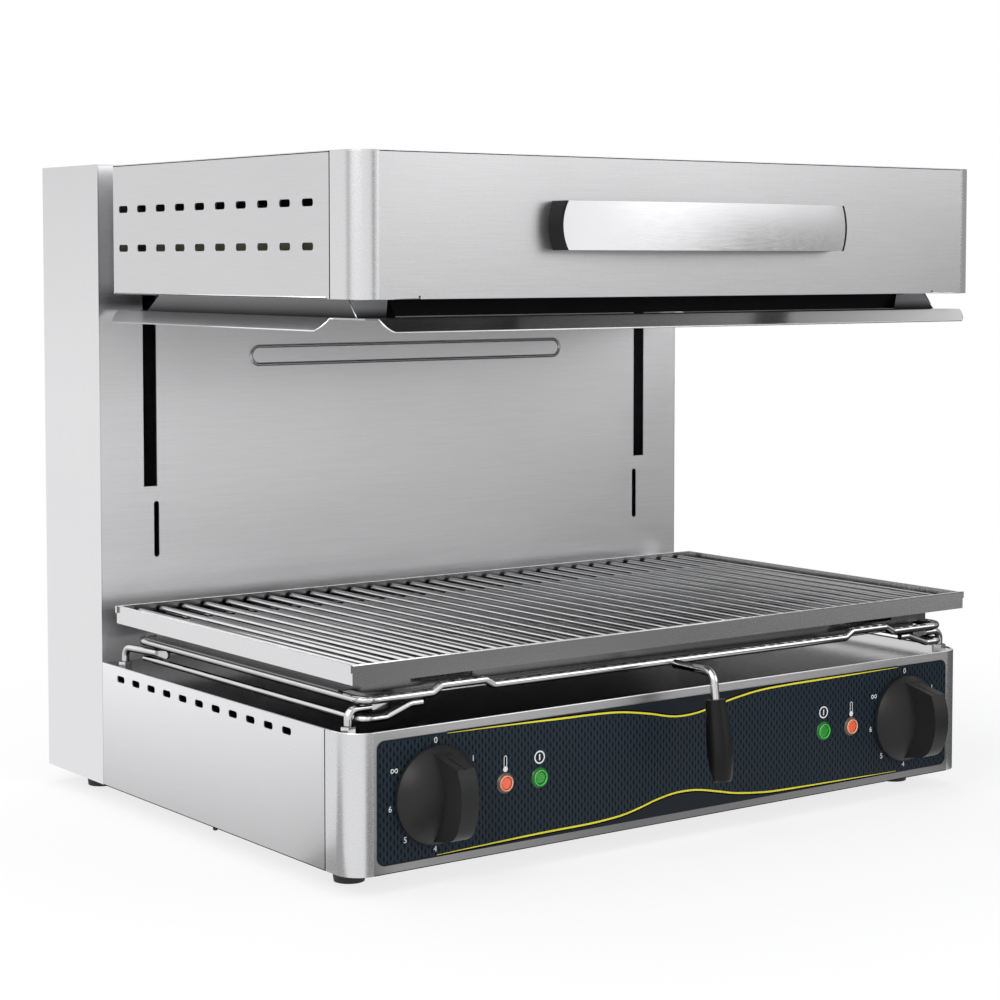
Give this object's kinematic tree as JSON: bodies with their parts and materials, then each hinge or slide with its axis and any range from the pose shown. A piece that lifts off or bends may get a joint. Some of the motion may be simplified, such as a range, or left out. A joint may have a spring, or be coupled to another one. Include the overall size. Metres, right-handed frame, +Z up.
{
  "type": "salamander grill",
  "caption": "Countertop salamander grill: a heated hood slides up and down a rear column above a wire grid on a pull-out rack, with rotary controls in the base.",
  "frame": {"origin": "middle of the whole footprint, on the table top under the rubber feet", "axes": "+X to the right as seen from the front, +Y to the rear column, +Z up; the controls face -Y"},
  "size_m": [0.6, 0.5296, 0.5088],
  "materials": {
    "stainless_plain": "plain mill-finished stainless sheet",
    "stainless_brushed": "stainless sheet with a fine satin grain",
    "stainless_polished": "smooth reflecting stainless sheet",
    "bright_wire": "bright plated round wire",
    "bright_steel": "bright plated steel",
    "zinc_steel": "zinc plated steel",
    "spring_steel": "oiled spring wire",
    "element_steel": "heat-darkened element tube",
    "reflector_aluminium": "bright folded reflector sheet",
    "black_enamel": "satin black coating",
    "overlay_navy": "dark navy printed film, satin",
    "black_plastic": "black moulded plastic, semi-gloss",
    "bezel_plastic": "dark tinted moulding",
    "lens_orange": "clear orange-red moulding",
    "lens_green": "clear green moulding",
    "white_plastic": "off-white heat-resistant moulding",
    "mineral_wool": "pale fibre blanket",
    "rubber": "black moulded rubber"
  },
  "bodies": {
    "base": {"base_floor": "stainless_plain", "rubber_feet": "rubber", "base_side_left": "stainless_brushed", "base_side_right": "stainless_brushed", "base_post_left": "stainless_brushed", "base_post_right": "stainless_brushed", "control_panel": "stainless_brushed", "control_overlay": "overlay_navy", "deck_plate": "stainless_polished", "column_side_left": "stainless_brushed", "column_side_right": "stainless_brushed", "back_panel": "stainless_plain", "column_top_cap": "stainless_brushed", "splash_plate": "stainless_brushed", "guide_rods": "bright_steel", "rod_brackets": "zinc_steel", "stop_rings": "rubber", "lift_spring_left": "spring_steel", "lift_spring_right": "spring_steel", "energy_regulators": "black_plastic", "lamp_bezels": "bezel_plastic", "lamp_lenses_orange": "lens_orange", "lamp_lenses_green": "lens_green", "cable_gland": "black_plastic", "terminal_block": "white_plastic", "back_panel_screws": "bright_steel", "rack_studs": "bright_wire", "stud_nuts": "bright_steel"},
    "head": {"head_side_left": "stainless_brushed", "head_side_right": "stainless_brushed", "head_post_left": "stainless_brushed", "head_post_right": "stainless_brushed", "head_front_panel": "stainless_brushed", "head_top_cover": "stainless_brushed", "head_rear_panel": "stainless_plain", "head_bottom_plate": "stainless_plain", "hood_skirt": "stainless_plain", "hood_front_strip": "black_enamel", "hood_flange": "stainless_plain", "handle_strip": "stainless_polished", "handle_end_caps": "black_plastic", "reflector": "reflector_aluminium", "insulating_blanket": "mineral_wool", "heating_element_left": "element_steel", "heating_element_right": "element_steel", "element_holders": "white_plastic", "lift_carriages": "zinc_steel", "lift_arms": "zinc_steel"},
    "left_knob": {"knob_left": "black_plastic", "regulator_shaft_left": "bright_steel"},
    "right_knob": {"knob_right": "black_plastic", "regulator_shaft_right": "bright_steel"},
    "rack": {"rack_loop": "bright_wire", "rack_lower_rails": "bright_wire", "rack_pull_rod": "bright_wire", "rack_grip": "black_plastic"},
    "tray": {"drip_tray": "stainless_polished"},
    "grid": {"grid_frame": "bright_steel", "grid_bars": "bright_wire", "grid_cross_wires": "bright_wire"}
  },
  "joints": [
    {"name": "head_slide", "type": "slide", "parent": "base", "child": "head", "axis": [0, 0, 1], "range_m": [-0.16, 0], "deforming": ["lift_spring_left", "lift_spring_right"]},
    {"name": "left_knob_turn", "type": "hinge", "parent": "base", "child": "left_knob", "pos_m": [-0.2307, -0.2103, 0.0643], "axis": [0, 1, 0], "range_deg": [0, 300]},
    {"name": "right_knob_turn", "type": "hinge", "parent": "base", "child": "right_knob", "pos_m": [0.2307, -0.2103, 0.0643], "axis": [0, 1, 0], "range_deg": [0, 300]},
    {"name": "rack_slide", "type": "slide", "parent": "base", "child": "rack", "axis": [0, -1, 0], "range_m": [0, 0.2]},
    {"name": "tray_lift", "type": "slide", "parent": "rack", "child": "tray", "axis": [0, 0, 1], "range_m": [0, 0.025]},
    {"name": "grid_lift", "type": "slide", "parent": "tray", "child": "grid", "axis": [0, 0, 1], "range_m": [0, 0.025]}
  ]
}
